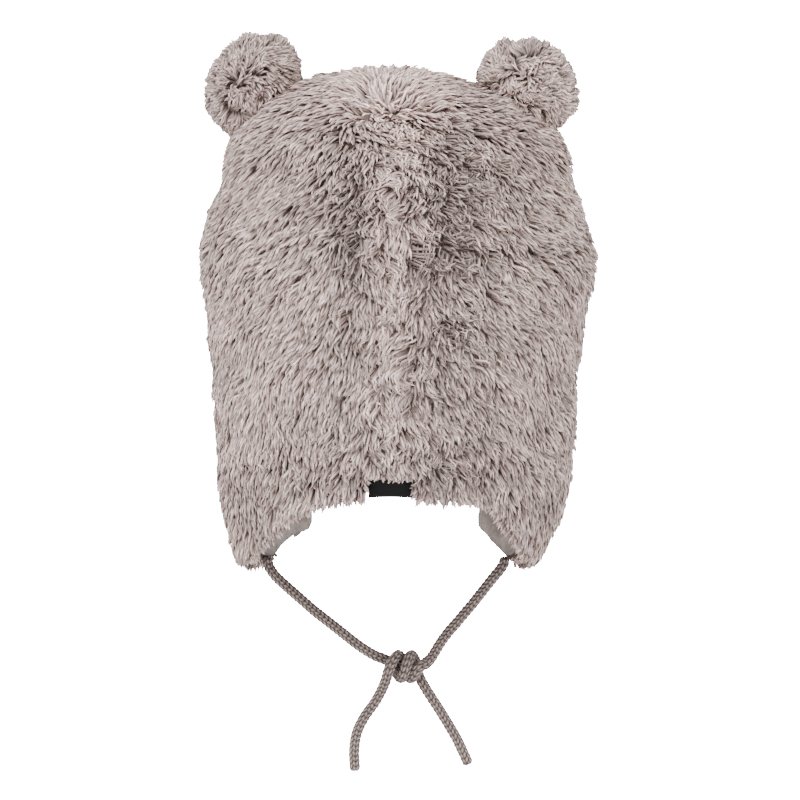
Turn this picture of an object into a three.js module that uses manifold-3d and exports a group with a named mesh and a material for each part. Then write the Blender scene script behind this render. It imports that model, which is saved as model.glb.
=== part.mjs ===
// A baby's winter hat in deep-pile fleece, with ball ears, ear flaps and two cords tied in a half knot.
// Millimetres, +Z up. The face looks along -Y, the wearer's left is +X, and the origin is the inside
// of the crown, where the top of the head touches it.
import * as THREE from "three";
import { mergeVertices } from "three/addons/utils/BufferGeometryUtils.js";
import Module from "manifold-3d";

const wasm = await Module();
wasm.setup();

// The head space inside the lining
const HALF_WIDTH = 84.5; // at the widest level
const HALF_DEPTH = 76;
const CROWN_RISE = 80; // from the widest level up to the top
const CROWN_POWER = 2.3; // 2 is an ellipse, more is a squarer crown
const HAT_DROP = 232; // from the top down to the lowest hem

// Cloth and gaps
const LINING_WALL = 1.5;
const BACKING_WALL = 1.6;
const CLOTH_GAP = 0.3; // between pieces that lie against each other

// The pile: rows of locks, each growing under the row above it
const PILE_STAND = 10.5; // how far a tip stands off the backing
const LOCK_WIDTH = 15;
const LOCK_ROWS = 17; // from the crown to the hem
const LOCK_OVERLAP = 1.45; // how far a tip reaches, in rows
const NOTCH = 0.5; // how far the notches between the tips reach, in rows
const HEM_NOTCH = 0.97; // and along the hem
const NOTCH_STAND = 0.35; // how far a notch stands off, as a share of PILE_STAND
const LOCK_VARY = 0.2; // how much longer or shorter than the middle one a lock may be

// The ears
const EAR_WIDTH = 51;
const EAR_HEIGHT = 54;
const EAR_DEPTH = 44;
const EAR_LIFT = 18.5; // from the backing out to the middle of the ear
const EAR_PILE = 6; // from the roots of its locks out to their tips
const EAR_LOCK_ROWS = 9;
const EAR_LOCK_WIDTH = 11.5;
const EAR_LOCK_REACH = { tip: 0.9, more: 0.4, notch: 0.5 }; // in rows
const EAR_STAND = { vary: 0.06, notch: 0.04, crown: 0.97 }; // as shares of the ear's half size
const EAR_ROOM = { columns: 12, rows: 8 }; // the mesh of the space kept free for an ear

// The woven label, whose upper part is under the fur
const LABEL_WIDTH = 23.5;
const LABEL_HEIGHT = 13;
const LABEL_SHOWN = 8;
const LABEL_THICKNESS = 0.8;
const LABEL_OFF_CENTRE = 3.75;
const LABEL_BELOW_HEM = 3.5;
const LABEL_FOLDS = 6; // flat stretches across it, as it follows the nape

// The knitted cord
const CORD_DIAMETER = 5;
const CORD_SIDES = 8;
const CORD_STEP = 7; // from one section of a cord's tube to the next
const KNOT_STEP = 3.2;
const CORD_ROOM = 30; // how far along a cord the fringe is kept clear of it
const ROUTE_STEP = 2; // between the points of a curve along a route
const ROUTE_PARTS = 1000; // how finely a route's length is measured
// Where the knot begins and ends on each cord, in millimetres from the flap
const LEFT_KNOT = { from: 74, to: 136 };
const RIGHT_KNOT = { from: 61, to: 126 };

// The mesh of the cloth under the pile
const COLUMNS = 40;
const ROWS = 11;

// Sections from the top down. level is a share of HAT_DROP, side and shift of HALF_WIDTH, back and front
// of HALF_DEPTH. The shift moves a section towards the wearer's left.
const SECTIONS = [
  { level: 0, side: 1, back: 1, front: 1, shift: 0.085 },
  { level: 0.06, side: 1.02, back: 1, front: 1, shift: 0.05 },
  { level: 0.12, side: 1.02, back: 1, front: 1, shift: 0.01 },
  { level: 0.2, side: 0.965, back: 1, front: 1, shift: 0.005 },
  { level: 0.27, side: 0.98, back: 1, front: 1, shift: 0.01 },
  { level: 0.36, side: 1.022, back: 1, front: 1, shift: 0 },
  { level: 0.47, side: 0.985, back: 0.99, front: 0.985, shift: 0.01 },
  { level: 0.6, side: 0.938, back: 0.95, front: 0.96, shift: 0.02 },
  { level: 0.73, side: 0.922, back: 0.9, front: 0.93, shift: 0.014 },
  { level: 0.86, side: 0.888, back: 0.85, front: 0.89, shift: 0.026 },
  { level: 0.95, side: 0.81, back: 0.8, front: 0.85, shift: 0.0475 },
  { level: 1, side: 0.745, back: 0.76, front: 0.82, shift: 0.072 },
];

// The hem from the nape (at 0) by the back corner (0.2), the flap's tip (0.5), its front corner (0.75) and
// the temple (0.9) to the brow (1). For each half, a turn is in degrees from the nape, a drop is a share of
// HAT_DROP, and a hang is how much of the fringe hangs over the hem there.
const HEM = [
  { at: 0, leftTurn: 0, leftDrop: 0.853, leftHang: 1, rightTurn: 0, rightDrop: 0.853, rightHang: 1 },
  { at: 0.1, leftTurn: 21, leftDrop: 0.862, leftHang: 1, rightTurn: 20, rightDrop: 0.857, rightHang: 1 },
  { at: 0.2, leftTurn: 36, leftDrop: 0.886, leftHang: 1, rightTurn: 37, rightDrop: 0.87, rightHang: 1 },
  { at: 0.3, leftTurn: 52, leftDrop: 0.938, leftHang: 0.9, rightTurn: 51, rightDrop: 0.925, rightHang: 0.9 },
  { at: 0.4, leftTurn: 74, leftDrop: 0.985, leftHang: 0.8, rightTurn: 74, rightDrop: 0.975, rightHang: 0.7 },
  { at: 0.5, leftTurn: 98, leftDrop: 0.99, leftHang: 0.5, rightTurn: 95, rightDrop: 0.985, rightHang: 0.3 },
  { at: 0.6, leftTurn: 117, leftDrop: 0.996, leftHang: 1, rightTurn: 110, rightDrop: 0.995, rightHang: 0.3 },
  { at: 0.7, leftTurn: 127, leftDrop: 0.974, leftHang: 0.3, rightTurn: 126, rightDrop: 0.974, rightHang: 0.1 },
  { at: 0.75, leftTurn: 136, leftDrop: 0.952, leftHang: 0.1, rightTurn: 135, rightDrop: 0.953, rightHang: 0.1 },
  { at: 0.8, leftTurn: 146, leftDrop: 0.925, leftHang: 0.1, rightTurn: 143, rightDrop: 0.915, rightHang: 0.1 },
  { at: 0.85, leftTurn: 145, leftDrop: 0.775, leftHang: 0.3, rightTurn: 143, rightDrop: 0.77, rightHang: 0.3 },
  { at: 0.9, leftTurn: 141, leftDrop: 0.6, leftHang: 0.5, rightTurn: 141, rightDrop: 0.6, rightHang: 0.5 },
  { at: 0.95, leftTurn: 152, leftDrop: 0.5, leftHang: 0.8, rightTurn: 152, rightDrop: 0.5, rightHang: 0.8 },
  { at: 1, leftTurn: 180, leftDrop: 0.47, leftHang: 1, rightTurn: 180, rightDrop: 0.47, rightHang: 1 },
];

// Where each ear is sewn on: degrees from the nape, and a share of the way from the top to the widest level.
// wide and tall are its own shares of EAR_WIDTH and EAR_HEIGHT, lean is how far it goes left for its rise.
const EARS = [
  { name: "ear_left", turn: 89, down: 0.405, wide: 0.99, tall: 1.07, lean: -0.2, seed: 5 },
  { name: "ear_right", turn: 271, down: 0.43, wide: 1.06, tall: 0.97, lean: 0.12, seed: 9 },
];

// The cords' routes, points chosen by hand from the flap tip down through the knot to the free end. In the
// knot the cords turn one and a half times about each other, so the left cord leaves it as the right tail.
const LEFT_CORD = [
  [65.3, -21.3, -232.4],
  [65, -21.4, -236.2],
  [62.2, -21.8, -241],
  [56, -22.8, -247],
  [49.2, -24, -253],
  [42.4, -25.3, -259],
  [34.8, -26.6, -265],
  [27.2, -27.8, -271],
  [19.5, -29, -277],
  [11.8, -30.4, -281.8],
  [6.4, -32.4, -284],
  [3, -34.8, -286.4],
  [0.6, -34.2, -290.8],
  [-1.4, -30, -293.2],
  [-3.2, -25.6, -290.6],
  [-4.8, -25.2, -285.4],
  [-6.6, -29.6, -281.7],
  [-8.6, -34.2, -284.2],
  [-9.8, -34.2, -289.6],
  [-11.4, -31.4, -294],
  [-14, -30.4, -298.6],
  [-17.2, -30, -303.6],
  [-20.8, -30, -309.2],
  [-25, -30, -316],
  [-29.6, -30, -324],
  [-35.6, -30, -336.8],
];
const RIGHT_CORD = [
  [-53.4, -22, -232.2],
  [-53.2, -22.3, -235.2],
  [-51.4, -23, -238.4],
  [-48.4, -24, -242],
  [-44.4, -25.2, -247],
  [-39.8, -26.4, -253],
  [-34.8, -27.4, -259],
  [-29.8, -28.2, -265],
  [-24.6, -28.8, -271],
  [-20.4, -28.8, -277],
  [-17.4, -27.8, -282],
  [-14.4, -26.2, -285.8],
  [-10.6, -25.1, -287.8],
  [-8.4, -26.6, -291.2],
  [-6.4, -30, -293.4],
  [-4.4, -34.4, -290.6],
  [-2.6, -34.8, -285.6],
  [-0.4, -30.4, -281.7],
  [2.2, -25.8, -283.8],
  [4.6, -24.8, -288.8],
  [6, -26.8, -293.8],
  [8, -29.4, -298.8],
  [11.6, -30, -305.4],
  [16.6, -30, -312.4],
  [20.4, -30, -320],
  [22, -30, -329],
  [21.6, -30, -340],
];

const BACKING_IN = LINING_WALL + CLOTH_GAP;
const BACKING_OUT = BACKING_IN + BACKING_WALL;
const CROWN_RUN = (Math.PI / 4) * (HALF_WIDTH + CROWN_RISE);
const FAR = 4 * HAT_DROP;
const DEGREE = Math.PI / 180;
const SAME_POINT = 1e-3; // vertices closer than this are one
const LEVEL = 1e-6; // points of two rings closer than this share of a turn are level
const LAST_DOWN = 0.99; // the lowest ring of an ear, just above its pole

// The same random numbers each time, from a seed
function dice(seed) {
  let state = seed;
  return () => {
    state = (state * 1664525 + 1013904223) % 4294967296;
    return state / 4294967296;
  };
}

// One column of a table at a place between its rows, on a smooth curve through them
function read(table, key, column, at) {
  const last = table.length - 1;
  let i = 0;
  while (i < last - 1 && at > table[i + 1][key]) i += 1;
  const slope = (a, b) => (table[b][column] - table[a][column]) / (table[b][key] - table[a][key]);
  const span = table[i + 1][key] - table[i][key];
  const s = THREE.MathUtils.clamp((at - table[i][key]) / span, 0, 1);
  const start = slope(Math.max(i - 1, 0), i + 1) * span;
  const end = slope(i, Math.min(i + 2, last)) * span;
  const rise = s * s * (3 - 2 * s);
  return (
    table[i][column] * (1 - rise) +
    table[i + 1][column] * rise +
    start * s * (1 - s) * (1 - s) -
    end * s * s * (1 - s)
  );
}

// A point of the head space. turn is in radians from the nape towards the left, run is the way down
// from the top along the surface.
function headPoint(turn, run) {
  const lift = (Math.min(run / CROWN_RUN, 1) * Math.PI) / 2;
  const reach = Math.sin(lift) ** (2 / CROWN_POWER);
  const crown = CROWN_RISE * (1 - Math.max(Math.cos(lift), 0) ** (2 / CROWN_POWER));
  const drop = crown + Math.max(run - CROWN_RUN, 0);
  const section = (column) => read(SECTIONS, "level", column, drop / HAT_DROP);
  const deep = Math.cos(turn) > 0 ? section("back") : section("front");
  return new THREE.Vector3(
    HALF_WIDTH * (section("side") * reach * Math.sin(turn) + section("shift")),
    HALF_DEPTH * deep * reach * Math.cos(turn),
    -drop,
  );
}

// Which way is out of the surface, down it and round it, at one point
function directions(turn, run) {
  if (run < 1) {
    const down = new THREE.Vector3(Math.sin(turn), Math.cos(turn), 0);
    return { out: new THREE.Vector3(0, 0, 1), down, round: new THREE.Vector3(down.y, -down.x, 0) };
  }
  const down = headPoint(turn, run + 1).sub(headPoint(turn, run - 1)).normalize();
  const round = headPoint(turn + 0.01, run).sub(headPoint(turn - 0.01, run)).normalize();
  const out = new THREE.Vector3().crossVectors(round, down).normalize();
  return { out, down, round: new THREE.Vector3().crossVectors(down, out) };
}

// A point at a distance outside the head space
function clothPoint(turn, run, outside) {
  return headPoint(turn, run).addScaledVector(directions(turn, run).out, outside);
}

// The hem at a share of the whole way round, from the nape by the left side back to the nape
function hemAt(round) {
  const left = round <= 0.5;
  const at = left ? round * 2 : 2 - round * 2;
  const turn = read(HEM, "at", left ? "leftTurn" : "rightTurn", at) * DEGREE;
  const drop = read(HEM, "at", left ? "leftDrop" : "rightDrop", at) * HAT_DROP;
  return {
    turn: left ? turn : 2 * Math.PI - turn,
    run: CROWN_RUN + drop - CROWN_RISE,
    hang: read(HEM, "at", left ? "leftHang" : "rightHang", at),
  };
}

// A point of the cloth at a share of the way round and of the way from the top down to the hem
function clothAt(round, down, outside) {
  const hem = hemAt(round);
  const turn = THREE.MathUtils.lerp(2 * Math.PI * round, hem.turn, Math.min(down, 1) ** 2);
  return clothPoint(turn, hem.run * down, outside);
}

// A solid for joining and cutting, from a closed geometry
function solid(geometry) {
  const bare = geometry.clone();
  bare.deleteAttribute("normal");
  bare.deleteAttribute("uv");
  const merged = mergeVertices(bare, SAME_POINT);
  const corners = [];
  for (let i = 0; i < merged.index.count; i += 3) {
    const [a, b, c] = [0, 1, 2].map((k) => merged.index.getX(i + k));
    if (a !== b && b !== c && c !== a) corners.push(a, b, c);
  }
  const made = new wasm.Mesh({
    numProp: 3,
    vertProperties: merged.attributes.position.array,
    triVerts: new Uint32Array(corners),
  });
  return new wasm.Manifold(made);
}

// A geometry from the largest piece of a solid, without the loose chips that a cut leaves
function largest(shape) {
  const whole = shape.decompose().reduce((a, b) => (b.volume() > a.volume() ? b : a));
  const made = whole.getMesh();
  const geometry = new THREE.BufferGeometry();
  geometry.setAttribute("position", new THREE.BufferAttribute(made.vertProperties, 3));
  geometry.setIndex(new THREE.BufferAttribute(made.triVerts, 1));
  return geometry;
}

// The geometry of a joined or cut solid. Merging its close points can pinch off one more chip or pocket.
function geometryOf(shape) {
  const geometry = largest(solid(largest(shape)));
  geometry.computeVertexNormals();
  return geometry;
}

// Moves the vertices of a geometry, each by its own number
function place(geometry, where) {
  const position = geometry.attributes.position;
  for (let i = 0; i < position.count; i += 1) {
    const point = where(i, new THREE.Vector3().fromBufferAttribute(position, i));
    position.setXYZ(i, point.x, point.y, point.z);
  }
  return geometry;
}

// A ring of points: how many, and each one's place from its share of the way round. under is the place
// that its diagonals are chosen by, so that walls one over the other are cut into the same triangles.
const ring = (count, pointAt, underAt = pointAt) =>
  Array.from({ length: count }, (_, i) => {
    const point = pointAt(i / count, i);
    return { round: i / count, point, under: underAt === pointAt ? point : underAt(i / count) };
  });

// The triangles between two rings, by the numbers of their points. Each step goes on along the ring that
// lags, or across the shorter diagonal where both are level.
function band(a, b) {
  const spot = (spots, i) => spots[i % spots.length];
  const roundOf = (spots, i) => spot(spots, i).round + Math.floor(i / spots.length);
  const reached = (spots, i) => (spots.length === 1 ? Infinity : roundOf(spots, i + 1));
  const faces = [];
  let [i, j] = [0, 0];
  while (i < a.length - (a.length === 1) || j < b.length - (b.length === 1)) {
    const lag = reached(a, i) - reached(b, j);
    const acrossA = spot(a, i + 1).under.distanceTo(spot(b, j).under);
    const acrossB = spot(b, j + 1).under.distanceTo(spot(a, i).under);
    const alongA = Math.abs(lag) < LEVEL ? acrossA < acrossB : lag < 0;
    const next = alongA ? (i + 1) % a.length : a.length + ((j + 1) % b.length);
    faces.push(i % a.length, a.length + (j % b.length), next);
    if (alongA) i += 1;
    else j += 1;
  }
  return faces;
}

// A closed surface over rings that follow each other. A ring of one point closes an end.
function skin(rings) {
  const faces = [];
  let first = 0;
  for (let k = 0; k + 1 < rings.length; k += 1) {
    const base = first;
    faces.push(...band(rings[k], rings[k + 1]).map((corner) => base + corner));
    first += rings[k].length;
  }
  const geometry = new THREE.BufferGeometry().setFromPoints(rings.flat().map((spot) => spot.point));
  return geometry.setIndex(faces);
}

// The rings of one face of the cloth, from under the top down to the hem
const clothRings = (outside) =>
  Array.from({ length: ROWS }, (_, row) => {
    const pointAt = (away) => (round) => clothAt(round, (row + 1) / ROWS, away);
    return ring(COLUMNS, pointAt(outside), pointAt(0));
  });

const topOf = (outside) => ring(1, () => clothPoint(0, 0, outside));

// A wall of cloth between two distances from the head space, open at the hem
function wall(inside, outside) {
  return skin([topOf(inside), ...clothRings(inside), ...clothRings(outside).reverse(), topOf(outside)]);
}

// All the space inside a wall, carried on below its hem
function core(outside) {
  const below = new THREE.Vector3(0, 0, -3 * PILE_STAND); // clear of every hanging lock
  const rings = clothRings(outside).reverse();
  const lowered = rings[0].map((spot) => ({ ...spot, point: spot.point.clone().add(below) }));
  const bottom = ring(1, () => new THREE.Vector3(0, 0, -HAT_DROP).add(below));
  return skin([bottom, lowered, ...rings, topOf(outside)]);
}

// The rings of one row of locks: the tips and the notches between them, then the roots above them
function lockRings(row, roll) {
  const root = row / LOCK_ROWS;
  const length = ring(COLUMNS, (round) => clothAt(round, root + 0.5 / LOCK_ROWS, 0)).reduce(
    (sum, spot, i, spots) => sum + spot.point.distanceTo(spots[(i + 1) % COLUMNS].point),
    0,
  );
  const count = 2 * Math.max(Math.round(length / LOCK_WIDTH), 3);
  const hemRow = row === LOCK_ROWS - 1;
  const tips = ring(count, (round, i) => {
    const tip = (i + row) % 2 === 0;
    const vary = 1 + LOCK_VARY * (2 * roll() - 1);
    const sway = (roll() - 0.5) / count;
    const overhang = (LOCK_OVERLAP * vary - 1) * (hemRow ? hemAt(round).hang : 1);
    const notch = hemRow ? HEM_NOTCH : NOTCH;
    const stand = PILE_STAND * (tip ? vary : NOTCH_STAND);
    const down = root + (tip ? 1 + overhang : notch) / LOCK_ROWS;
    return clothAt((round + sway + 1) % 1, down, BACKING_OUT + stand);
  });
  if (row === 0) return [tips];
  return [tips, ring(count, (round) => clothAt(round, root, BACKING_OUT))];
}

// The fur all round: a backing whose outside is rows of locks
function furWall() {
  const roll = dice(11);
  const rows = Array.from({ length: LOCK_ROWS }, (_, row) => lockRings(row, roll)).reverse();
  const tuft = topOf(BACKING_OUT + PILE_STAND);
  return skin([topOf(BACKING_IN), ...clothRings(BACKING_IN), ...rows.flat(), tuft]);
}

function box(from, to) {
  const size = new THREE.Vector3().subVectors(to, from);
  const geometry = new THREE.BoxGeometry(size.x, size.y, size.z);
  return geometry.translate(from.x + size.x / 2, from.y + size.y / 2, from.z + size.z / 2);
}

// The label lies on the backing at the nape. margin grows it on every side, outwards adds to its face.
function labelShape(margin, outwards, height) {
  const block = new THREE.BoxGeometry(LABEL_WIDTH + 2 * margin, 1, height + 2 * margin, LABEL_FOLDS, 1, 1);
  const hem = hemAt(0);
  const bottom = hem.run + LABEL_BELOW_HEM;
  const inner = BACKING_OUT + CLOTH_GAP;
  const outer = inner + LABEL_THICKNESS + outwards;
  return place(block, (i, point) => {
    const run = bottom - point.z - height / 2;
    const level = headPoint(0, hem.run);
    const turn = Math.asin((point.x + LABEL_OFF_CENTRE - level.x) / HALF_WIDTH);
    return clothPoint(turn, run, point.y > 0 ? outer + margin : inner - margin);
  });
}

// The curve along a cord's route between two lengths from its start
function stretch(route, from, to) {
  const smooth = (points) => new THREE.CatmullRomCurve3(points, false, "centripetal");
  const path = smooth(route.map((point) => new THREE.Vector3(...point)));
  path.arcLengthDivisions = ROUTE_PARTS;
  const length = path.getLength();
  const end = Math.min(to, length);
  const count = Math.ceil((end - from) / ROUTE_STEP);
  const share = (i) => (from + ((end - from) * i) / count) / length;
  return smooth(Array.from({ length: count + 1 }, (_, i) => path.getPointAt(share(i))));
}

// A round tube along a curve
function tube(path, diameter, step) {
  const section = new THREE.Shape();
  for (let i = 0; i < CORD_SIDES; i += 1) {
    const angle = (2 * Math.PI * i) / CORD_SIDES;
    const [x, y] = [(diameter / 2) * Math.cos(angle), (diameter / 2) * Math.sin(angle)];
    if (i === 0) section.moveTo(x, y);
    else section.lineTo(x, y);
  }
  section.closePath();
  const steps = Math.ceil(path.getLength() / step);
  return new THREE.ExtrudeGeometry(section, { steps, extrudePath: path, bevelEnabled: false });
}

// The middle of an ear, and which way it stands off the crown
function earPlace(ear) {
  const turn = ear.turn * DEGREE;
  const run = ear.down * CROWN_RUN;
  return { centre: clothPoint(turn, run, BACKING_OUT + EAR_LIFT), ...directions(turn, run) };
}

// A point of an ear, from how far round and down from its far end it is, at a share of its size
function earPoint(ear, round, down, share) {
  const { centre, out } = earPlace(ear);
  const turn = new THREE.Quaternion().setFromUnitVectors(new THREE.Vector3(0, 0, 1), out);
  const size = new THREE.Vector3(EAR_WIDTH * ear.wide, EAR_DEPTH, EAR_HEIGHT * ear.tall);
  const point = new THREE.Vector3().setFromSphericalCoords(1, Math.PI * down, -2 * Math.PI * round);
  point.set(point.x, -point.z, point.y).applyQuaternion(turn);
  point.multiply(size.multiplyScalar(share / 2));
  point.x += ear.lean * point.z;
  return point.add(centre);
}

// The space that an ear takes up, with a clearance
function earSpace(ear) {
  const grown = 1 + (2 * CLOTH_GAP) / EAR_DEPTH;
  const { columns, rows } = EAR_ROOM;
  const rings = Array.from({ length: rows - 1 }, (_, row) =>
    ring(columns, (round) => earPoint(ear, round, 1 - (row + 1) / rows, grown)),
  );
  const pole = (down) => ring(1, () => earPoint(ear, 0, down, grown));
  return skin([pole(1), ...rings, pole(0)]);
}

// An ear: a ball whose outside is rows of locks that lie away from its far end
function earBall(ear) {
  const roll = dice(ear.seed);
  const roots = 1 - (2 * EAR_PILE) / EAR_WIDTH;
  const rings = [ring(1, () => earPoint(ear, 0, 1, roots))];
  for (let row = EAR_LOCK_ROWS - 1; row >= 0; row -= 1) {
    const down = row / EAR_LOCK_ROWS;
    const girth = Math.PI * EAR_WIDTH * Math.sin(Math.PI * (down + 0.5 / EAR_LOCK_ROWS));
    const count = 2 * Math.max(Math.round(girth / EAR_LOCK_WIDTH), 3);
    rings.push(
      ring(count, (round, i) => {
        const tip = (i + row) % 2 === 0;
        const { tip: reach, more, notch } = EAR_LOCK_REACH;
        const over = (tip ? reach + more * roll() : notch) / EAR_LOCK_ROWS;
        const share = tip ? 1 - EAR_STAND.vary * roll() : roots + EAR_STAND.notch;
        const sway = (roll() - 0.5) / count;
        return earPoint(ear, round + sway, Math.min(down + over, LAST_DOWN), share);
      }),
    );
    if (row > 0) rings.push(ring(count, (round) => earPoint(ear, round, down, roots)));
  }
  return skin([...rings, ring(1, () => earPoint(ear, 0, 0, EAR_STAND.crown))]);
}

const joined = (geometries) => wasm.Manifold.union(geometries.map(solid));

const furFinish = { color: 0xa89b96, roughness: 1.0, metalness: 0.0 };
const liningFinish = { color: 0xa89e97, roughness: 0.95, metalness: 0.0 };
const labelFinish = { color: 0x1d1d1d, roughness: 0.8, metalness: 0.0 };
const cordFinish = { color: 0x87796f, roughness: 0.9, metalness: 0.0 };

const hat = new THREE.Group();

function add(name, geometry, finish) {
  const mesh = new THREE.Mesh(geometry, new THREE.MeshStandardMaterial(finish));
  mesh.name = name;
  hat.add(mesh);
}

// The fur panels, cut apart at the seam and kept clear of the ears, the label and the cords
const cordRoom = (route) => tube(stretch(route, 0, CORD_ROOM), CORD_DIAMETER + 4 * CLOTH_GAP, CORD_STEP);
const clearings = [
  labelShape(CLOTH_GAP, 2 * PILE_STAND, LABEL_SHOWN),
  labelShape(CLOTH_GAP, 0, LABEL_HEIGHT),
  cordRoom(LEFT_CORD),
  cordRoom(RIGHT_CORD),
];
const earRoom = joined(EARS.map(earSpace)).subtract(solid(core(BACKING_OUT)));
const liningRoom = solid(wall(-CLOTH_GAP, LINING_WALL + CLOTH_GAP / 2));
const fur = solid(furWall()).subtract(earRoom).subtract(joined(clearings)).subtract(liningRoom);
for (const left of [true, false]) {
  const near = left ? CLOTH_GAP / 2 : -FAR;
  const far = left ? FAR : -CLOTH_GAP / 2;
  const half = solid(box(new THREE.Vector3(near, -FAR, -FAR), new THREE.Vector3(far, FAR, FAR)));
  add(left ? "fur_panel_left" : "fur_panel_right", geometryOf(fur.intersect(half)), furFinish);
}

add("lining", geometryOf(solid(wall(0, LINING_WALL))), liningFinish);

// The ears, hollowed where they sit on the backing
const seat = solid(core(BACKING_OUT + CLOTH_GAP));
for (const ear of EARS) add(ear.name, geometryOf(solid(earBall(ear)).subtract(seat)), furFinish);

add("nape_label", labelShape(0, 0, LABEL_HEIGHT), labelFinish);

// Each cord in three stretches, face to face: its lead down to the knot, its share of the knot and its tail
const gap = CLOTH_GAP / 2;
const cords = [
  { route: LEFT_CORD, knot: LEFT_KNOT, lead: "cord_left", tail: "tail_right" },
  { route: RIGHT_CORD, knot: RIGHT_KNOT, lead: "cord_right", tail: "tail_left" },
];
for (const { route, knot, lead, tail } of cords) {
  add(lead, tube(stretch(route, 0, knot.from - gap), CORD_DIAMETER, CORD_STEP), cordFinish);
  add(tail, tube(stretch(route, knot.to + gap, Infinity), CORD_DIAMETER, CORD_STEP), cordFinish);
}
const crossings = cords.map(({ route, knot }) => stretch(route, knot.from + gap, knot.to - gap));
const strands = crossings.map((curve) => tube(curve, CORD_DIAMETER, KNOT_STEP));
add("tie_knot", geometryOf(joined(strands)), cordFinish);

export default hat;
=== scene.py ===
import math

import bmesh
import bpy
import numpy as np
from mathutils import Matrix, Vector
from mathutils.kdtree import KDTree


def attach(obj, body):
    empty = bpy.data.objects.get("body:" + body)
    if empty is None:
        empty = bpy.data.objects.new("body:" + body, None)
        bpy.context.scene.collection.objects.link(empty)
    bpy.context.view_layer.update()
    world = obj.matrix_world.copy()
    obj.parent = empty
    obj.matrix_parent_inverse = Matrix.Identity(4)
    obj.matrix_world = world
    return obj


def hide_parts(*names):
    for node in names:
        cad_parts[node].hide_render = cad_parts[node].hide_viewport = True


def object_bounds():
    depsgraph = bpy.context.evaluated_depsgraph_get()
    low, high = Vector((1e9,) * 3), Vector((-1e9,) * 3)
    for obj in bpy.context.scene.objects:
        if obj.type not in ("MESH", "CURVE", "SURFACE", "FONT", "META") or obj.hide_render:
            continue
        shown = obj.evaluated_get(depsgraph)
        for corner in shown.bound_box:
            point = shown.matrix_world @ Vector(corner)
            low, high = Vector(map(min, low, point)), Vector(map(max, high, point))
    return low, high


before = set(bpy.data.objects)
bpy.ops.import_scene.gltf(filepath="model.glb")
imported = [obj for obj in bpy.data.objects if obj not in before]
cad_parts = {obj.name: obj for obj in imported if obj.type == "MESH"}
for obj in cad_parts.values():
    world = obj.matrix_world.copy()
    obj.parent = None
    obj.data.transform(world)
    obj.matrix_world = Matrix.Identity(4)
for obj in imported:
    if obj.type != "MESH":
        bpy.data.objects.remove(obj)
CAD_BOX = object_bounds()

# A baby's winter hat in deep-pile fleece, seen from behind, with ball ears, ear flaps and two knitted cords
# tied in a half knot. Metres, +Z up. The face looks along -Y, the wearer's left is +X, and the origin is
# the inside of the crown.
MM = 0.001


def table(columns, *rows):
    """Rows of numbers as one array for each named column."""
    return dict(zip(columns.split(), np.array(rows, float).T))


# The head space inside the lining
HALF_WIDTH = 84.5 * MM
HALF_DEPTH = 76 * MM
CROWN_RISE = 80 * MM
CROWN_POWER = 2.3
HAT_DROP = 232 * MM
CROWN_RUN = math.pi / 4 * (HALF_WIDTH + CROWN_RISE)

# Walls, as distances from the head space
LINING_OUT = 1.5 * MM
BACKING_IN = 1.8 * MM
BACKING_OUT = 3.4 * MM

SECTIONS = table(
    "level side back front shift",
    (0, 1, 1, 1, 0.085),
    (0.06, 1.02, 1, 1, 0.05),
    (0.12, 1.02, 1, 1, 0.01),
    (0.2, 0.965, 1, 1, 0.005),
    (0.27, 0.98, 1, 1, 0.01),
    (0.36, 1.022, 1, 1, 0),
    (0.47, 0.985, 0.99, 0.985, 0.01),
    (0.6, 0.938, 0.95, 0.96, 0.02),
    (0.73, 0.922, 0.9, 0.93, 0.014),
    (0.86, 0.888, 0.85, 0.89, 0.026),
    (0.95, 0.81, 0.8, 0.85, 0.0475),
    (1, 0.745, 0.76, 0.82, 0.072),
)

# The hem from the nape round to the brow: turns in degrees from the nape, drops as shares of HAT_DROP, and
# hangs, how far the pile hangs over it, as shares of FRINGE
HEM = table(
    "at left_turn left_drop left_hang right_turn right_drop right_hang",
    (0, 0, 0.853, 1, 0, 0.853, 1),
    (0.1, 21, 0.862, 1, 20, 0.857, 1),
    (0.2, 36, 0.886, 1, 37, 0.87, 1),
    (0.3, 52, 0.938, 0.9, 51, 0.925, 0.9),
    (0.4, 74, 0.985, 0.8, 74, 0.975, 0.7),
    (0.5, 98, 0.99, 0.5, 95, 0.985, 0.3),
    (0.6, 117, 0.996, 1, 110, 0.995, 0.3),
    (0.7, 127, 0.974, 0.3, 126, 0.974, 0.1),
    (0.75, 136, 0.952, 0.1, 135, 0.953, 0.1),
    (0.8, 146, 0.925, 0.1, 143, 0.915, 0.1),
    (0.85, 145, 0.775, 0.3, 143, 0.77, 0.3),
    (0.9, 141, 0.6, 0.5, 141, 0.6, 0.5),
    (0.95, 152, 0.5, 0.8, 152, 0.5, 0.8),
    (1, 180, 0.47, 1, 180, 0.47, 1),
)
FRINGE = 7 * MM

# The pile's way over the cloth, in degrees away from straight down: left and right outwards from the
# seam, and inwards the other way on the ridge along the seam, where the two sides' pile meets
FLOW = table(
    "level left right inwards",
    (0.0, 30, 35, 10),
    (0.12, 24, 32, 16),
    (0.3, 28, 42, 20),
    (0.55, 22, 36, 16),
    (0.75, 5, 20, 10),
    (1.0, -4, 6, 0),
)

CREST = 0.46  # how far down the back the pile starts to part over the crown, as a share of CROWN_RUN
CREST_HALF = 20 * MM  # from the seam out to where that parting ends
CREST_SPOT = 6.5 * MM  # about this far round the parting's start the locks are short and scattered
CREST_LEVEL = 0.3  # the level at which the parting over the crown has ended
RIDGE_HALF = 15 * MM  # from the seam out to where the pile parts
PARTING = 18 * MM  # the width of the parting

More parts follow.
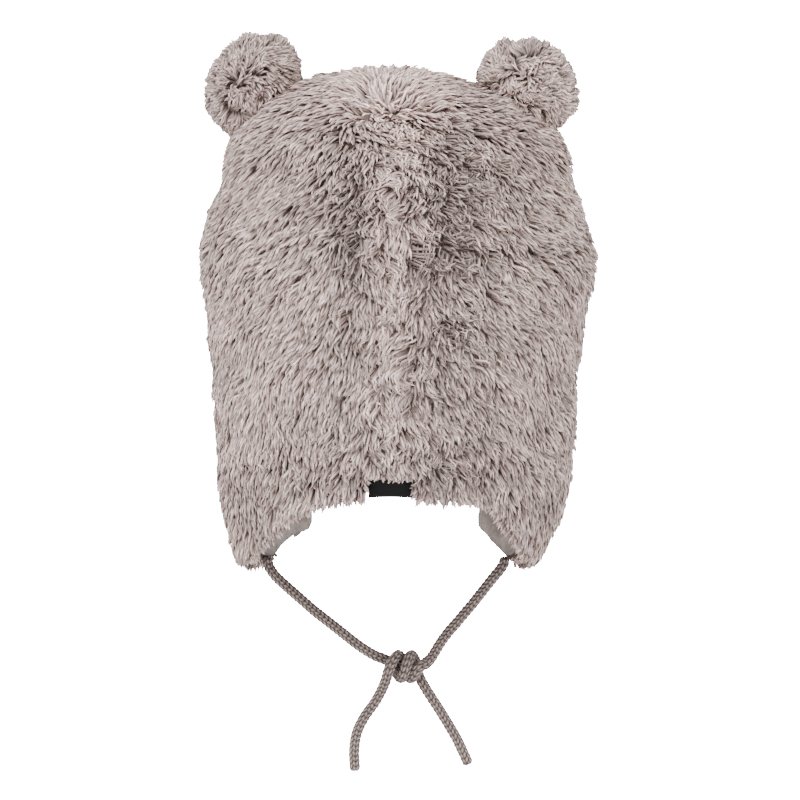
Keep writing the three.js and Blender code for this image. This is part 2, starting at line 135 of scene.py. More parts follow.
# Patches on the back: the centre and half size of each in millimetres, how rough and how tufted the pile
# is there, and light, the painted light and shade on its colour there. Light below zero is painted shade.
PATCHES = table(
    "x z wide high rough tufted light",
    (4, -8, 20, 16, 0.1, 0.6, 1.5),
    (0, -62, 11, 42, 0.3, 1.0, 0.85),
    (1, -130, 11, 40, 0.4, 0.8, 0.6),
    (-3, -170, 12, 30, 0.6, 0.3, 0.3),
    (-16, -62, 40, 45, 0.75, 0, -0.1),
    (-6, -125, 34, 34, 0.6, 0, -0.1),
    (20, -70, 7, 46, 0.6, 0, -0.9),
    (-20, -52, 11, 22, 0.9, 0, -0.6),
    (-30, -42, 16, 14, 0.9, 0, -0.5),
    (-24, -83, 16, 10, 1.0, 0, -0.8),
    (-21, -113, 14, 11, 1.0, 0, -0.5),
    (-12, -178, 26, 14, 0.6, 0, -0.3),
    (52, -130, 34, 60, 0, 0, 0.4),
    (-60, -120, 30, 60, 0, 0, 0.15),
    (62, -210, 24, 24, 0, 0, -0.3),
    (2, -172, 50, 26, 0.45, 0, -0.15),
)

# Locks of pile. Where it is rough or tufted, a lower layer of shorter locks fills the gaps.
LOCK_SPACING = 1.62 * MM
UNDER_SPACING = 1.8 * MM
UNDER_FROM = 0.35  # the sum of rough and tufted above which the lower layer is there
LOCK_REACH = 11.5 * MM
LOCK_STAND = 6.0 * MM
LOCK_WIDTH = 2.3 * MM
LOCK_ROOT = 6.2 * MM  # from the head space out to the roots
SHORTEST = 3 * MM  # the least reach of a lock that the hem cuts short
RIM_LOCKS = 1500
BED_OUT = 8.0 * MM  # from the head space out to the shadowed floor of the pile
# The pile floor's darker tone is painted shade.
BED_SHADE_TONE = 0.35
TUFT = 7.5 * MM  # from one tuft of locks to the next
ALONG = np.array([0.0, 0.36, 0.72, 1.0])  # stations from root to tip
FATNESS = np.array([0.7, 1.0, 0.78])  # share of the full width at each station before the tip
RIDGE = 0.36  # a lock's height, as a share of its width

# The ears, each a ball on the crown. turn is in degrees from the nape, down is a share of CROWN_RUN, wide
# and tall are shares of EAR_HALF, lean is how far the ball goes left for its rise, swirl is the way from
# its middle to where its pile parts, and tone is how light its pile is.
EARS = {
    "ear_left": {
        "turn": 89, "down": 0.405, "wide": 0.99, "tall": 1.07, "lean": -0.2,
        "swirl": (0.42, 0.9, 0.1), "tone": 0.43, "seed": 5,
    },
    "ear_right": {
        "turn": 271, "down": 0.43, "wide": 1.06, "tall": 0.97, "lean": 0.12,
        "swirl": (0.1, 0.95, 0.25), "tone": 0.5, "seed": 9,
    },
}
EAR_HALF = np.array([25.5, 22, 27]) * MM
EAR_LIFT = 18.5 * MM
EAR_CORE = 0.79  # the ball under the pile, as a share of EAR_HALF
EAR_LOCKS = 4600
EAR_TUFTS = 130

# The woven label at the nape
LABEL_WIDTH = 23.5 * MM
LABEL_HEIGHT = 13 * MM
LABEL_SHOWN = 8 * MM
LABEL_THICKNESS = 0.8 * MM
LABEL_OFF_CENTRE = 3.75 * MM
LABEL_BELOW_HEM = 3.5 * MM
LABEL_CLEAR = 1.5 * MM  # from the tips of the locks above it to its shown part
LABEL_LOCK = 2.5 * MM  # the least reach of those locks

# The knitted cords. In the knot they turn one and a half times about each other.
CORD_DIAMETER = 5 * MM
CORD_SIDES = 30
CORD_STEP = 0.42 * MM
CORD_END = 1.2 * MM  # the length over which an end narrows
CORD_CORE = 0.95  # the radius between the stitches, as a share of the cord's
STITCH_HEIGHT = 0.22  # how far the stitches stand off that, as the same share
WALES = 5  # columns of stitches round the cord
STITCH = 2.6 * MM
LEFT_CORD = [
    (65.3, -21.3, -232.4), (65, -21.4, -236.2), (62.2, -21.8, -241), (56, -22.8, -247),
    (49.2, -24, -253), (42.4, -25.3, -259), (34.8, -26.6, -265), (27.2, -27.8, -271),
    (19.5, -29, -277), (11.8, -30.4, -281.8), (6.4, -32.4, -284), (3, -34.8, -286.4),
    (0.6, -34.2, -290.8), (-1.4, -30, -293.2), (-3.2, -25.6, -290.6), (-4.8, -25.2, -285.4),
    (-6.6, -29.6, -281.7), (-8.6, -34.2, -284.2), (-9.8, -34.2, -289.6), (-11.4, -31.4, -294),
    (-14, -30.4, -298.6), (-17.2, -30, -303.6), (-20.8, -30, -309.2), (-25, -30, -316),
    (-29.6, -30, -324), (-35.6, -30, -336.8),
]
RIGHT_CORD = [
    (-53.4, -22, -232.2), (-53.2, -22.3, -235.2), (-51.4, -23, -238.4), (-48.4, -24, -242),
    (-44.4, -25.2, -247), (-39.8, -26.4, -253), (-34.8, -27.4, -259), (-29.8, -28.2, -265),
    (-24.6, -28.8, -271), (-20.4, -28.8, -277), (-17.4, -27.8, -282), (-14.4, -26.2, -285.8),
    (-10.6, -25.1, -287.8), (-8.4, -26.6, -291.2), (-6.4, -30, -293.4), (-4.4, -34.4, -290.6),
    (-2.6, -34.8, -285.6), (-0.4, -30.4, -281.7), (2.2, -25.8, -283.8), (4.6, -24.8, -288.8),
    (6, -26.8, -293.8), (8, -29.4, -298.8), (11.6, -30, -305.4), (16.6, -30, -312.4),
    (20.4, -30, -320), (22, -30, -329), (21.6, -30, -340),
]

# The picture, 400 mm across at the hat's middle
VIEW_WIDTH = 400 * MM
VIEW_CENTRE = (-1 * MM, 0.0, -153.5 * MM)
VIEW_DISTANCE = 6.0
FLOOR_DEPTH = 60 * MM  # the floor's distance below the ends of the cords
FLOOR_RADIUS = 0.95
ROOM_LIGHT = 1.0
BACKDROP_LIGHT = 45.0  # bright enough to be paper white in the picture

MERGE = 1e-5  # points of a bent grid that are closer than this become one
TOP_RUN = 1.2 * MM  # directions are taken at least this far down from the top


def read(columns, key, name, at):
    """A column at places between a table's rows, on a smooth curve through them."""
    places, values = columns[key], columns[name]
    last = len(places) - 1
    i = np.searchsorted(places[1:-1], at)
    span = places[i + 1] - places[i]
    s = np.clip((at - places[i]) / span, 0, 1)

    def slope(a, b):
        return (values[b] - values[a]) / (places[b] - places[a]) * span

    start = slope(np.maximum(i - 1, 0), i + 1)
    end = slope(i, np.minimum(i + 2, last))
    rise = s * s * (3 - 2 * s)
    bend = s * (1 - s) * (start * (1 - s) - end * s)
    return values[i] * (1 - rise) + values[i + 1] * rise + bend


def unit(vectors):
    return vectors / np.maximum(np.linalg.norm(vectors, axis=-1, keepdims=True), 1e-12)


def dot(a, b):
    return np.sum(a * b, axis=-1, keepdims=True)


def head_point(turn, run):
    """Points of the head space. turn is from the nape to the left, run is the way down from the top."""
    turn, run = np.broadcast_arrays(np.asarray(turn, float), np.asarray(run, float))
    lift = np.clip(run / CROWN_RUN, 0, 1) * math.pi / 2
    reach = np.sin(lift) ** (2 / CROWN_POWER)
    crown = CROWN_RISE * (1 - np.maximum(np.cos(lift), 0) ** (2 / CROWN_POWER))
    drop = crown + np.maximum(run - CROWN_RUN, 0)
    level = drop / HAT_DROP
    column = lambda name: read(SECTIONS, "level", name, level)
    deep = np.where(np.cos(turn) > 0, column("back"), column("front"))
    x = HALF_WIDTH * (column("side") * reach * np.sin(turn) + column("shift"))
    return np.stack([x, HALF_DEPTH * deep * reach * np.cos(turn), -drop], axis=-1)


def directions(turn, run):
    """Out of the surface, down it and round it."""
    turn, run = np.broadcast_arrays(np.asarray(turn, float), np.asarray(run, float))
    run = np.maximum(run, TOP_RUN)
    down = unit(head_point(turn, run + MM) - head_point(turn, run - MM))
    around = unit(head_point(turn + 0.01, run) - head_point(turn - 0.01, run))
    out = unit(np.cross(around, down))
    return out, down, np.cross(down, out)


def cloth_point(turn, run, outside):
    return head_point(turn, run) + directions(turn, run)[0] * np.asarray(outside)[..., None]


def hem_at(around):
    """The hem's turn, run and hang at a share of the whole way round from the nape by the left side."""
    left = around <= 0.5
    at = np.where(left, around * 2, 2 - around * 2)
    turn = np.where(left, read(HEM, "at", "left_turn", at), read(HEM, "at", "right_turn", at))
    drop = np.where(left, read(HEM, "at", "left_drop", at), read(HEM, "at", "right_drop", at))
    turn = np.radians(np.where(left, turn, 360 - turn))
    hang = np.where(left, read(HEM, "at", "left_hang", at), read(HEM, "at", "right_hang", at))
    return turn, CROWN_RUN + drop * HAT_DROP - CROWN_RISE, hang


def cloth_at(around, down, outside):
    """Points of the cloth at shares of the way round and of the way from the top to the hem."""
    turn, run, _ = hem_at(around)
    share = np.minimum(down, 1) ** 2
    mixed = 2 * math.pi * around * (1 - share) + turn * share
    return cloth_point(mixed, run * down, outside)


def ripple(points, size, seed):
    """Smooth random numbers, mostly from -1 to 1, that change over a distance of size."""
    dice = np.random.default_rng(seed)
    total = np.zeros(points.shape[:-1])
    for _ in range(6):
        way = unit(dice.normal(size=3)) * 2 * math.pi / size * dice.uniform(0.6, 1.3)
        total += np.sin(points @ way + dice.uniform(0, 2 * math.pi))
    return total / 2.4


def finish_piece(piece, material, slot, *nodes):
    """Gives a new piece its material and its body, and hides the nodes that it stands for. slot is not
    used.
    """
    piece.data.materials.clear()
    piece.data.materials.append(material)
    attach(piece, "root")
    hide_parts(*nodes)
    return piece


def object_of(name, mesh):
    piece = bpy.data.objects.new(name, mesh)
    bpy.context.scene.collection.objects.link(piece)
    return piece


def mapped_grid(name, columns, rows, place, tints=None):
    """A grid bent into shape. place takes two arrays from 0 to 1, across and along it, and gives points."""
    shape = bmesh.new()
    bmesh.ops.create_grid(shape, x_segments=columns, y_segments=rows, size=1, calc_uvs=True)
    flat = np.array([v.co[:2] for v in shape.verts])
    across, along = (flat.T + 1) / 2
    points = place(across, along)
    for vert, point in zip(shape.verts, points):
        vert.co = point
    if tints is not None:
        layer = shape.verts.layers.float.new("tone")
        for vert, tint in zip(shape.verts, tints(across, along)):
            vert[layer] = tint
    bmesh.ops.remove_doubles(shape, verts=shape.verts, dist=MERGE)
    edges = [e for e in shape.edges if e.is_boundary]
    if edges:
        bmesh.ops.holes_fill(shape, edges=edges, sides=0)
    bmesh.ops.recalc_face_normals(shape, faces=shape.faces)
    mesh = bpy.data.meshes.new(name)
    shape.to_mesh(mesh)
    shape.free()
    mesh.shade_smooth()
    return object_of(name, mesh)


def nodes_of(name):
    """A material with an empty tree, its shader and a function that adds and links nodes."""
    material = bpy.data.materials.new(name)
    material.use_nodes = True
    tree = material.node_tree
    shader = tree.nodes["Principled BSDF"]

    def add(kind, inputs=None, **settings):
        node = tree.nodes.new("ShaderNode" + kind)
        for key, value in settings.items():
            setattr(node, key, value)
        for key, value in (inputs or {}).items():
            if isinstance(value, bpy.types.NodeSocket):
                tree.links.new(value, node.inputs[key])
            else:
                node.inputs[key].default_value = value
        return node

    def link(value, key):
        tree.links.new(value, shader.inputs[key])

    return material, shader, add, link


def srgb(red, green, blue):
    """A colour as a picture shows it, 0 to 255, in the shader's own scale."""
    linear = [((c / 255 + 0.055) / 1.055) ** 2.4 if c > 10 else c / 255 / 12.92 for c in (red, green, blue)]
    return (*linear, 1.0)


def ramp(add, factor, *stops):
    """A colour ramp through its stops, each a place and a colour."""
    node = add("ValToRGB", {"Fac": factor})
    elements = node.color_ramp.elements
    for i, (at, colour) in enumerate(stops):
        element = elements[i] if i < 2 else elements.new(at)
        element.position = at
        element.color = colour
    return node.outputs["Color"]


def grey(value):
    return (value, value, value, 1.0)


def mix(add, kind, factor, a, b):
    node = add("Mix", {0: factor, 6: a, 7: b}, data_type="RGBA", blend_type=kind)
    return node.outputs[2]


def fur_material(name, root, tip, depth=1.0):
    """Pile: darker towards the roots as painted shade deep in the pile, fine fibres along each lock with
    painted highlights on them, each lock darker at its sides as painted shade, and each lock a little
    lighter or darker, at random and by painted light and shade.
    """
    material, shader, add, link = nodes_of(name)
    along = add("Attribute", attribute_name="along").outputs["Fac"]
    tone = add("Attribute", attribute_name="tone").outputs["Fac"]
    aside = add("Attribute", attribute_name="aside").outputs["Fac"]
    strands = add("UVMap", uv_map="UVMap").outputs["UV"]
    fine = add("Mapping", {"Vector": strands, "Scale": (820, 90, 1)}).outputs["Vector"]
    fibre = add("TexNoise", {"Vector": fine, "Scale": 1, "Detail": 3}, noise_dimensions="2D").outputs["Fac"]
    # Painted shade: the colour darkens from the tips down to the roots, standing in for the shadow deep in
    # the pile.
    colour = ramp(add, along, (0.0, root), (depth, tip))
    lift = ramp(add, tone, (0.0, grey(0.5)), (1.0, grey(1.46)))
    colour = mix(add, "MULTIPLY", 1.0, colour, lift)
    # The fine fibres, their light streaks pushed above the pile's colour as painted highlights.
    fibres_and_highlights = ramp(add, fibre, (0.34, srgb(178, 170, 168)), (0.78, grey(1.7)))
    colour = mix(add, "MULTIPLY", 1.0, colour, fibres_and_highlights)
    # Painted shade and light: each lock darker at its sides and a little lighter along its ridge.
    edges = ramp(add, aside, (0.25, grey(1.06)), (1.0, srgb(168, 156, 152)))
    colour = mix(add, "MULTIPLY", 1.0, colour, edges)
    place = add("TexCoord").outputs["Object"]
    broad = add("TexNoise", {"Vector": place, "Scale": 26, "Detail": 2}).outputs["Fac"]
    drift = ramp(add, broad, (0.3, srgb(238, 232, 232)), (0.7, srgb(255, 252, 248)))
    colour = mix(add, "MULTIPLY", 1.0, colour, drift)
    link(colour, "Base Color")
    bump = add("Bump", {"Height": fibre, "Strength": 0.35, "Distance": 0.0002})
    link(bump.outputs["Normal"], "Normal")
    shader.inputs["Roughness"].default_value = 0.82
    shader.inputs["Specular IOR Level"].default_value = 0.25
    shader.inputs["Sheen Weight"].default_value = 0.35
    shader.inputs["Sheen Roughness"].default_value = 0.45
    shader.inputs["Sheen Tint"].default_value = srgb(235, 226, 222)
    return material


def lining_material():
    """Smooth jersey with a short brushed nap."""
    material, shader, add, link = nodes_of("brushed_jersey")
    place = add("TexCoord").outputs["Object"]
    nap = add("TexNoise", {"Vector": place, "Scale": 420, "Detail": 3}).outputs["Fac"]
    cloudy = add("TexNoise", {"Vector": place, "Scale": 70, "Detail": 3}).outputs["Fac"]
    colour = ramp(add, cloudy, (0.3, srgb(144, 128, 121)), (0.7, srgb(184, 169, 162)))
    speckle = ramp(add, nap, (0.3, grey(0.76)), (0.7, grey(1.1)))
    link(mix(add, "MULTIPLY", 1.0, colour, speckle), "Base Color")
    bump = add("Bump", {"Height": nap, "Strength": 0.5, "Distance": 0.0004})
    link(bump.outputs["Normal"], "Normal")
    shader.inputs["Roughness"].default_value = 0.95
    shader.inputs["Specular IOR Level"].default_value = 0.2
    shader.inputs["Sheen Weight"].default_value = 0.3
    return material


def label_material():
    """Black ribbon, woven fine, with a denser edge."""
    material, shader, add, link = nodes_of("woven_ribbon")
    face = add("UVMap", uv_map="UVMap").outputs["UV"]
    warp = add("TexWave", {"Vector": face, "Scale": 26, "Distortion": 0.4}, bands_direction="X")
    weft = add("TexWave", {"Vector": face, "Scale": 42, "Distortion": 0.4}, bands_direction="Y")
    weave = mix(add, "MIX", 0.5, warp.outputs["Color"], weft.outputs["Color"])
    link(ramp(add, weave, (0.25, srgb(7, 7, 7)), (0.8, srgb(23, 22, 22))), "Base Color")
    bump = add("Bump", {"Height": weave, "Strength": 0.5, "Distance": 0.0001})
    link(bump.outputs["Normal"], "Normal")
    shader.inputs["Roughness"].default_value = 0.6
    shader.inputs["Specular IOR Level"].default_value = 0.25
    return material


def cord_material():
    """Matt cotton yarn, darker between the stitches as painted shade."""
    material, shader, add, link = nodes_of("knitted_cotton")
    tone = add("Attribute", attribute_name="tone").outputs["Fac"]
    place = add("TexCoord").outputs["Object"]
    yarn = add("TexNoise", {"Vector": place, "Scale": 1500, "Detail": 2}).outputs["Fac"]
    drift = add("TexNoise", {"Vector": place, "Scale": 120, "Detail": 2}).outputs["Fac"]
    # Painted shade: the colour darkens with the depth between the stitches.
    stops = ((0.12, srgb(38, 31, 29)), (0.5, srgb(132, 118, 113)), (1.0, srgb(204, 191, 186)))
    colour = ramp(add, tone, *stops)
    fluff = ramp(add, yarn, (0.3, grey(0.8)), (0.7, grey(1.12)))
    shade = ramp(add, drift, (0.3, srgb(232, 228, 228)), (0.7, srgb(255, 250, 248)))
    colour = mix(add, "MULTIPLY", 1.0, mix(add, "MULTIPLY", 1.0, colour, fluff), shade)
    link(colour, "Base Color")
    bump = add("Bump", {"Height": yarn, "Strength": 0.4, "Distance": 0.0002})
    link(bump.outputs["Normal"], "Normal")
    shader.inputs["Roughness"].default_value = 0.9
    shader.inputs["Specular IOR Level"].default_value = 0.2
    shader.inputs["Sheen Weight"].default_value = 0.25
    return material


def put_camera():
    """A long lens straight behind the hat."""
    camera = bpy.data.cameras.new("camera")
    camera.sensor_width = 36
    camera.lens = camera.sensor_width * VIEW_DISTANCE / VIEW_WIDTH
    camera.clip_end = 20
    holder = bpy.data.objects.new("camera", camera)
    holder.location = Vector(VIEW_CENTRE) + Vector((0, VIEW_DISTANCE, 0))
    holder.rotation_euler = (math.pi / 2, 0, math.pi)
    bpy.context.scene.collection.objects.link(holder)
    bpy.context.scene.camera = holder


def soft_light(name, place, size, power):
    """A square soft box that faces the hat."""
    light = bpy.data.lights.new(name, "AREA")
    light.size = size
    light.energy = power
    holder = bpy.data.objects.new(name, light)
    holder.location = place
    away = Vector(VIEW_CENTRE) - Vector(place)
    holder.rotation_euler = away.to_track_quat("-Z", "Y").to_euler()
    bpy.context.scene.collection.objects.link(holder)


def light_stage():
    """White surroundings, a pale floor and soft boxes above and beside the camera."""
    world = bpy.data.worlds.new("white_room")
    world.use_nodes = True
    tree = world.node_tree
    room = tree.nodes["Background"]
    room.inputs["Color"].default_value = grey(1.0)
    room.inputs["Strength"].default_value = ROOM_LIGHT
    backdrop = tree.nodes.new("ShaderNodeBackground")
    backdrop.inputs["Strength"].default_value = BACKDROP_LIGHT
    seen = tree.nodes.new("ShaderNodeLightPath")
    both = tree.nodes.new("ShaderNodeMixShader")
    tree.links.new(seen.outputs["Is Camera Ray"], both.inputs[0])
    tree.links.new(room.outputs[0], both.inputs[1])
    tree.links.new(backdrop.outputs[0], both.inputs[2])
    tree.links.new(both.outputs[0], tree.nodes["World Output"].inputs[0])
    bpy.context.scene.world = world
    soft_light("key_light", (0.5, 1.6, 1.5), 0.6, 46)
    soft_light("side_light_left", (1.9, 0.5, 0.3), 0.9, 14)
    soft_light("side_light_right", (-1.9, 0.5, 0.3), 0.9, 14)
    shape = bmesh.new()
    bmesh.ops.create_circle(shape, cap_ends=True, segments=96, radius=FLOOR_RADIUS)
    bmesh.ops.translate(shape, verts=shape.verts, vec=(0, 0, CAD_BOX[0][2] - FLOOR_DEPTH))
    mesh = bpy.data.meshes.new("floor")
    shape.to_mesh(mesh)
    shape.free()
    material, shader, _, _ = nodes_of("pale_floor")
    shader.inputs["Base Color"].default_value = grey(0.9)
    shader.inputs["Roughness"].default_value = 0.9
    mesh.materials.append(material)
    object_of("floor", mesh)


def smooth_route(route, step):
    """Evenly spaced points and their lengths on a smooth curve through a cord's route."""
    points = np.array(route) * MM
    knots = np.concatenate([[0], np.cumsum(np.sqrt(np.linalg.norm(np.diff(points, axis=0), axis=1)))])
    slopes = np.gradient(points, knots, axis=0)
    at = np.linspace(0, knots[-1], 60 * len(points))
    i = np.clip(np.searchsorted(knots, at, side="right") - 1, 0, len(points) - 2)
    span = (knots[i + 1] - knots[i])[:, None]
    s = ((at - knots[i]) / (knots[i + 1] - knots[i]))[:, None]
    rise = s * s * (3 - 2 * s)
    bend = span * s * (1 - s) * (slopes[i] * (1 - s) - slopes[i + 1] * s)
    dense = points[i] * (1 - rise) + points[i + 1] * rise + bend
    run = np.concatenate([[0], np.cumsum(np.linalg.norm(np.diff(dense, axis=0), axis=1))])
    even = np.linspace(0, run[-1], int(run[-1] / step) + 1)
    return np.stack([np.interp(even, run, dense[:, k]) for k in range(3)], axis=-1), even


def carried_frames(path):
    """Two directions across a path at each point, carried along it without twist."""
    tangents = unit(np.gradient(path, axis=0))
    across = [unit(np.cross(tangents[0], (0.0, 1.0, 0.0)))]
    for tangent in tangents[1:]:
        last = across[-1]
        across.append(unit(last - tangent * np.dot(last, tangent)))
    across = np.array(across)
    return across, np.cross(tangents, across)


def stitch_relief(angle, length):
    """How proud the yarn stands, 0 to 1: columns of V stitches that run along the cord."""
    wale = angle * WALES / (2 * math.pi)
    leg = np.abs(2 * (wale - np.floor(wale)) - 1)
    row = length / STITCH + 0.5 * np.floor(wale) + 0.62 * leg
    ridge = np.abs(np.sin(math.pi * row)) ** 0.7
    groove = np.clip(1 - np.abs(leg - 0.5) * 2, 0, 1) ** 0.5
    return ridge * (0.35 + 0.65 * groove)


def make_cord(name, route, *nodes):
    """A knitted cord as a mesh tube with its stitches in relief."""
    path, lengths = smooth_route(route, CORD_STEP)
    first, second = carried_frames(path)
    rows = len(path) - 1

    def shape(across, along):
        i = np.rint(along * rows).astype(int)
        angle = 2 * math.pi * across
        relief = stitch_relief(angle, lengths[i])
        end = np.minimum(lengths[i], lengths[-1] - lengths[i]) / CORD_END
        radius = CORD_DIAMETER / 2 * (CORD_CORE + STITCH_HEIGHT * relief) * np.clip(0.55 + 0.45 * end, 0, 1)
        spoke = first[i] * np.cos(angle)[:, None] + second[i] * np.sin(angle)[:, None]
        return path[i] + spoke * radius[:, None]

    def depth(across, along):
        return stitch_relief(2 * math.pi * across, lengths[np.rint(along * rows).astype(int)])

    # The tone is the stitches' relief, which the cord's colour turns into painted shade between them.
    cord = mapped_grid(name, CORD_SIDES, rows, shape, tints=depth)
    finish_piece(cord, cord_material(), "cord", *nodes)


def make_lining():
    """The smooth inner wall, down the inside, round the hem's edge and up the outside."""
    columns, rows = 150, 36

    def shape(across, along):
        t = along * 2
        inside = t <= 1
        down = np.where(inside, t, 2 - t)
        edge = np.clip((1 - down) * 40, 0, 1)
        half = LINING_OUT / 2
        swell = half * np.sqrt(1 - (1 - edge) ** 2)
        outside = np.where(inside, half - swell, half + swell)
        return cloth_at(across, down, outside)

    lining = mapped_grid("lining_jersey", columns, 2 * rows, shape)
    finish_piece(lining, lining_material(), "lining", "lining")


def make_bed(name, left, node, material):
    """The cloth backing with the floor of the pile, painted darker as the shadow deep in the pile, on one
    side of the centre seam.
    """
    columns, rows = 70, 40

    def shape(across, along):
        t = along * 2
        inside = t <= 1
        down = np.where(inside, t, 2 - t)
        around = across * 0.5 if left else 0.5 + across * 0.5
        lumps = 0.9 * MM * ripple(cloth_at(around, down, BACKING_OUT), 9 * MM, 31)
        edge = np.clip((1 - down) * 12, 0, 1)
        outer = BACKING_OUT + (BED_OUT - BACKING_OUT + lumps) * edge
        return cloth_at(around, down, np.where(inside, BACKING_IN, outer))

    bed = mapped_grid(name, columns, 2 * rows, shape, tints=lambda across, along: BED_SHADE_TONE + 0 * across)
    finish_piece(bed, material, "fur", node)


def make_label():
    """The bare label: a folded ribbon that follows the nape and hangs a little below the hem."""
    hem_run = hem_at(np.array(0.0))[1]
    bottom = hem_run + LABEL_BELOW_HEM
    level = head_point(0.0, hem_run)
    inner = BACKING_OUT + 0.3 * MM
    columns, rows = 60, 48

    def shape(across, along):
        t = along * 2
        down = np.where(t <= 1, t, 2 - t)
        edge = np.clip((1 - down) * 18, 0, 1)
        fold = np.sqrt(1 - (1 - edge) ** 2) * LABEL_THICKNESS / 2
        rim = np.clip(np.minimum(across, 1 - across) * 40, 0.35, 1)
        outside = inner + LABEL_THICKNESS / 2 + np.where(t <= 1, -fold, fold) * rim
        x = (across - 0.5) * LABEL_WIDTH + LABEL_OFF_CENTRE
        sag = 0.5 * MM * np.cos(math.pi * (across - 0.5))
        turn = np.arcsin((x - level[0]) / HALF_WIDTH)
        return cloth_point(turn, bottom - LABEL_HEIGHT * (1 - down) - sag, outside)

    label = mapped_grid("label_ribbon", columns, rows, shape)
    finish_piece(label, label_material(), "label", "nape_label")


def lock_mesh(name, locks):
    """Closed tapering tufts as one mesh, from arrays with one entry for each lock."""
    root, out, lay = locks["root"], locks["out"], locks["lay"]
    side = unit(np.cross(out, lay))
    count, stations = len(root), len(ALONG)
    s = ALONG[None, :, None]
    each = lambda key: locks[key][:, None, None]
    centre = (
        root[:, None]
        + lay[:, None] * each("reach") * s
        + out[:, None] * each("stand") * (1 - (1 - s) ** 1.8)
        + side[:, None] * (each("curl") * s**2 + each("wave") * np.sin(2 * math.pi * s))
    )
    tangent = unit(np.gradient(centre, ALONG, axis=1))
    across = unit(side[:, None] - tangent * dot(side[:, None], tangent))
    above = np.cross(tangent, across)
    angle = each("roll") + each("twist") * s
    wide = across * np.cos(angle) + above * np.sin(angle)
    high = above * np.cos(angle) - across * np.sin(angle)
    fat = FATNESS[None, :, None] * each("width")
    ring_centre, wide, high = centre[:, :-1], wide[:, :-1], high[:, :-1]
    half = wide * fat / 2
    rings = np.stack([ring_centre + half, ring_centre + high * fat * RIDGE, ring_centre - half], axis=2)
    body = rings.reshape(count, -1, 3)
    points = np.concatenate([body, centre[:, -1:]], axis=1)
    per = points.shape[1]

    quads = []
    for k in range(stations - 2):
        for m in range(3):
            n = (m + 1) % 3
            quads.append((3 * k + m, 3 * k + n, 3 * k + 3 + n, 3 * k + 3 + m))
    top = 3 * (stations - 2)
    tris = [(top + m, top + (m + 1) % 3, per - 1) for m in range(3)] + [(2, 1, 0)]
    offsets = (np.arange(count) * per)[:, None, None]
    quad_loops = (np.array(quads)[None] + offsets).reshape(-1)
    tri_loops = (np.array(tris)[None] + offsets).reshape(-1)
    loops = np.concatenate([quad_loops, tri_loops]).astype(np.int32)
    quad_starts = np.arange(len(quad_loops) // 4) * 4
    tri_starts = len(quad_loops) + np.arange(len(tri_loops) // 3) * 3
    starts = np.concatenate([quad_starts, tri_starts]).astype(np.int32)

    mesh = bpy.data.meshes.new(name)
    mesh.vertices.add(count * per)
    mesh.vertices.foreach_set("co", points.reshape(-1).astype(np.float32))
    mesh.loops.add(len(loops))
    mesh.loops.foreach_set("vertex_index", loops)
    mesh.polygons.add(len(starts))
    mesh.polygons.foreach_set("loop_start", starts)
    mesh.update(calc_edges=True)
    mesh.shade_smooth()

    along = np.broadcast_to(np.append(np.repeat(ALONG[:-1], 3), 1.0), (count, per))
    across_at = np.append(np.tile([0.5, 0.0, -0.5], stations - 1), 0.0)
    u = across_at[None] * locks["width"][:, None] + locks["shift"][:, None]
    v = along * locks["reach"][:, None]
    put_floats(mesh, "along", along)
    put_floats(mesh, "aside", np.broadcast_to(np.abs(across_at) * 2, (count, per)))
    put_floats(mesh, "tone", np.broadcast_to(locks["tone"][:, None], (count, per)))
    uv = np.stack([u.reshape(-1), v.reshape(-1)], axis=-1)[loops]
    mesh.uv_layers.new(name="UVMap").data.foreach_set("uv", uv.reshape(-1).astype(np.float32))
    return object_of(name, mesh)


def put_floats(mesh, name, values):
    layer = mesh.attributes.new(name, "FLOAT", "POINT")
    layer.data.foreach_set("value", np.ascontiguousarray(values, np.float32).reshape(-1))


def scatter(spacing, dice):
    """Turns and runs of places spread evenly over the surface, from the top to below the hem."""
    turns, runs = [], []
    ring = np.linspace(0, 2 * math.pi, 361)
    for run in np.arange(spacing / 2, CROWN_RUN + HAT_DROP - CROWN_RISE, spacing):
        steps = np.linalg.norm(np.diff(head_point(ring, run), axis=0), axis=1)
        length = np.concatenate([[0], np.cumsum(steps)])
        count = max(int(length[-1] / spacing), 1)
        at = (np.arange(count) + dice.random(count)) * length[-1] / count
        turns.append(np.interp(at, length, ring))
        runs.append(run + dice.uniform(-0.5, 0.5, count) * spacing)
    return np.concatenate(turns), np.concatenate(runs)


def inside_hem(turn, run):
    """Whether each place is on the cloth, by counting how often the hem passes above it."""
    hem_turn, hem_run, _ = hem_at(np.linspace(0, 1, 401))
    a, b = hem_turn[:-1], hem_turn[1:]
    crossed = (a[None] <= turn[:, None]) != (b[None] <= turn[:, None])
    share = (turn[:, None] - a[None]) / np.where(b == a, 1, b - a)[None]
    at = hem_run[:-1][None] + share * np.diff(hem_run)[None]
    return np.sum(crossed & (at > run[:, None]), axis=1) % 2 == 1


def hem_distance(points):
    """How far each point is from the hem, and how much of the fringe hangs over it there."""
    around = np.linspace(0, 1, 601)
    nearest, gap = nearest_of(points, cloth_at(around, np.ones(601), np.zeros(601)))
    return gap, hem_at(around)[2][nearest]


def turned(ahead, aside, angle):
    """Directions turned by an angle from one towards another."""
    return ahead * np.cos(angle)[:, None] + aside * np.sin(angle)[:, None]


def along_surface(vectors, out):
    return unit(vectors - out * dot(vectors, out))


def nearest_of(points, centres):
    """The number of the centre nearest to each point, and how far off it is."""
    tree = KDTree(len(centres))
    for i, centre in enumerate(centres):
        tree.insert(centre, i)
    tree.balance()
    found = [tree.find(point)[1:] for point in points]
    return np.array([i for i, _ in found]), np.array([gap for _, gap in found])


